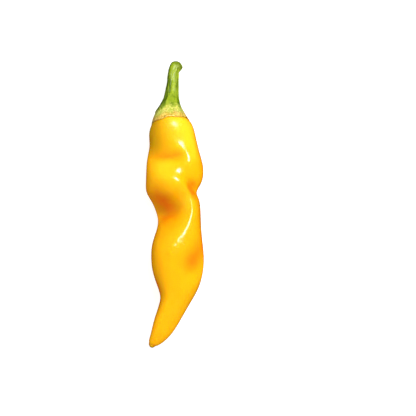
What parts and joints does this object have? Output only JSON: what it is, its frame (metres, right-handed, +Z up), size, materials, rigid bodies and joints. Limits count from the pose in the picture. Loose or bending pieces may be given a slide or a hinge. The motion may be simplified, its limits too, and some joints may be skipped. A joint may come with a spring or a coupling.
{
  "type": "chili pepper",
  "caption": "Long twisted chili pepper with a folded, buckled pod that narrows to a blunt tip, and a curved stalk with its calyx. It lies on its side.",
  "frame": {"origin": "on the surface that the pepper lies on, under the middle of its overall length and width", "axes": "+Y along the pepper from its tip to its stalk, +X to the right as seen from above with the stalk away from the viewer, +Z up"},
  "size_m": [0.0205, 0.1008, 0.0187],
  "materials": {
    "pod_skin": "gloss",
    "green_stalk": "satin"
  },
  "bodies": {
    "root": {"pod": "pod_skin", "calyx_stalk": "green_stalk"}
  },
  "joints": []
}
